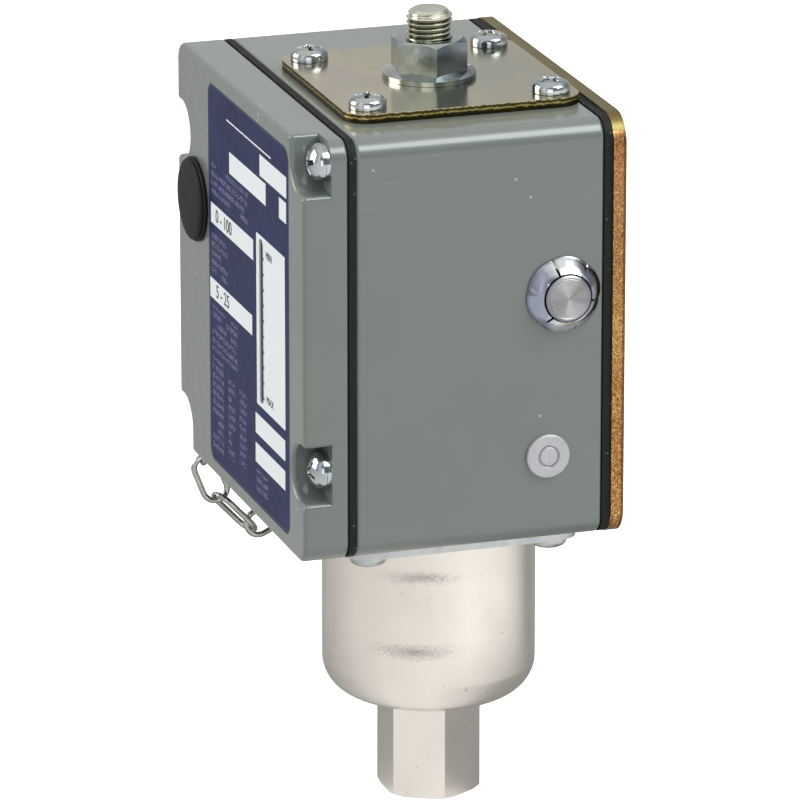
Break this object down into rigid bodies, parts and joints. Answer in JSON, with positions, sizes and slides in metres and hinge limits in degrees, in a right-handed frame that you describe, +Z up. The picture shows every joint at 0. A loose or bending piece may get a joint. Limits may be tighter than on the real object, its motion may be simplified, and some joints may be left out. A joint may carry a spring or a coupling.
{
  "type": "differential pressure switch",
  "caption": "Boxed differential pressure switch: cast case with gasketed cover, bellows cup and hex port below, range screw and nut above, lever train and snap switch inside.",
  "frame": {"origin": "mouth of the pressure port, centred in the hexagon below the bellows cup", "axes": "+Z up along the port, bellows and range screw; -Y out of the front cover; +X out of the side with the shaft cap"},
  "size_m": [0.0923, 0.0701, 0.1684],
  "materials": {
    "grey_enamel": "semi-gloss grey-green enamel on a casting",
    "black_rubber": "matt black sheet rubber",
    "label_print": "satin navy blue plate with bare white fields",
    "clear_window": "clear plastic",
    "black_plastic": "satin black plastic",
    "yellow_zinc": "yellow chromate on zinc, mirror-like",
    "bright_zinc": "bright bluish zinc plate",
    "polished_steel": "bright polished spring steel",
    "rivet_steel": "matt light grey upset metal",
    "satin_nickel": "warm satin nickel",
    "spring_steel": "oiled spring wire",
    "bellows_brass": "drawn brass",
    "dark_phenolic": "dark brown moulded phenolic",
    "brass_screws": "turned brass",
    "green_zinc": "green dyed zinc"
  },
  "bodies": {
    "case": {"housing": "grey_enamel", "front_gasket": "black_rubber", "rear_gasket": "black_rubber", "back_plate": "yellow_zinc", "back_plate_screws": "bright_zinc", "top_plate": "yellow_zinc", "top_plate_screws": "bright_zinc", "bottom_plate": "bright_zinc", "bottom_plate_screws": "bright_zinc", "guide_post": "bright_zinc", "bellows_cup": "satin_nickel", "pressure_connection": "satin_nickel", "bellows": "bellows_brass", "lever_pin": "rivet_steel", "pivot_shaft": "polished_steel", "shaft_cap": "polished_steel", "switch_bracket": "bright_zinc", "bracket_screws": "bright_zinc", "snap_switch": "dark_phenolic", "switch_screws": "bright_zinc", "terminal_block": "dark_phenolic", "terminal_screws": "brass_screws", "ground_screw": "green_zinc", "retaining_chain": "bright_zinc", "housing_chain_eye": "bright_zinc"},
    "cover": {"cover": "grey_enamel", "label_plate": "label_print", "scale_window": "clear_window", "cover_screws": "bright_zinc", "cover_chain_eye": "bright_zinc"},
    "plug": {"hole_plug": "black_plastic"},
    "range_adjuster": {"range_screw": "bright_zinc", "range_nut": "bright_zinc", "screw_collar": "bright_zinc"},
    "carriage": {"range_carriage": "brass_screws", "range_pointer": "bright_zinc", "range_spring": "spring_steel"},
    "push_rod": {"push_rod": "bright_zinc"},
    "main_lever": {"main_lever": "bright_zinc"},
    "trip_link": {"trip_link": "bright_zinc"},
    "trip_lever": {"trip_lever": "bright_zinc", "differential_spring": "spring_steel"},
    "plunger": {"switch_plunger": "brass_screws"},
    "dial": {"differential_dial": "brass_screws", "differential_cam": "bright_zinc"}
  },
  "joints": [
    {"name": "cover_slide", "type": "slide", "parent": "case", "child": "cover", "axis": [0, -1, 0], "range_m": [0, 0.02], "deforming": ["retaining_chain"]},
    {"name": "plug_pull", "type": "slide", "parent": "cover", "child": "plug", "axis": [0, -1, 0], "range_m": [0, 0.01]},
    {"name": "range_turn", "type": "hinge", "parent": "case", "child": "range_adjuster", "pos_m": [0, 0, 0.15], "axis": [0, 0, 1], "range_deg": [-1441, 1441]},
    {"name": "carriage_travel", "type": "slide", "parent": "case", "child": "carriage", "axis": [0, 0, 1], "range_m": [-0.008, 0.008], "deforming": ["range_spring"]},
    {"name": "lever_swing", "type": "hinge", "parent": "case", "child": "main_lever", "pos_m": [0, 0.0132, 0.0826], "axis": [-1, 0, 0], "range_deg": [0, 4]},
    {"name": "rod_lift", "type": "slide", "parent": "case", "child": "push_rod", "axis": [0, 0, 1], "range_m": [0, 0.00092], "stiffness_N_per_m": 60, "springref_m": -0.001, "deforming": ["bellows"]},
    {"name": "link_lift", "type": "slide", "parent": "case", "child": "trip_link", "axis": [0, 0, 1], "range_m": [0, 0.0017]},
    {"name": "trip_swing", "type": "hinge", "parent": "case", "child": "trip_lever", "pos_m": [0, 0.0163, 0.1166], "axis": [-1, 0, 0], "range_deg": [0, 3.6], "deforming": ["differential_spring"]},
    {"name": "plunger_travel", "type": "slide", "parent": "case", "child": "plunger", "axis": [0, 0, 1], "range_m": [0, 0.0014]},
    {"name": "dial_turn", "type": "hinge", "parent": "case", "child": "dial", "pos_m": [-0.0382, -0.02, 0.121], "axis": [0, 1, 0], "range_deg": [-150, 150]}
  ],
  "couplings": [
    {"joint": "range_turn", "follows": "carriage_travel", "rad_per_m": -3141.6},
    {"joint": "lever_swing", "follows": "rod_lift", "rad_per_m": 75.758},
    {"joint": "link_lift", "follows": "rod_lift", "ratio": 1.7576},
    {"joint": "trip_swing", "follows": "rod_lift", "rad_per_m": 66.828},
    {"joint": "plunger_travel", "follows": "rod_lift", "ratio": 1.4903}
  ]
}
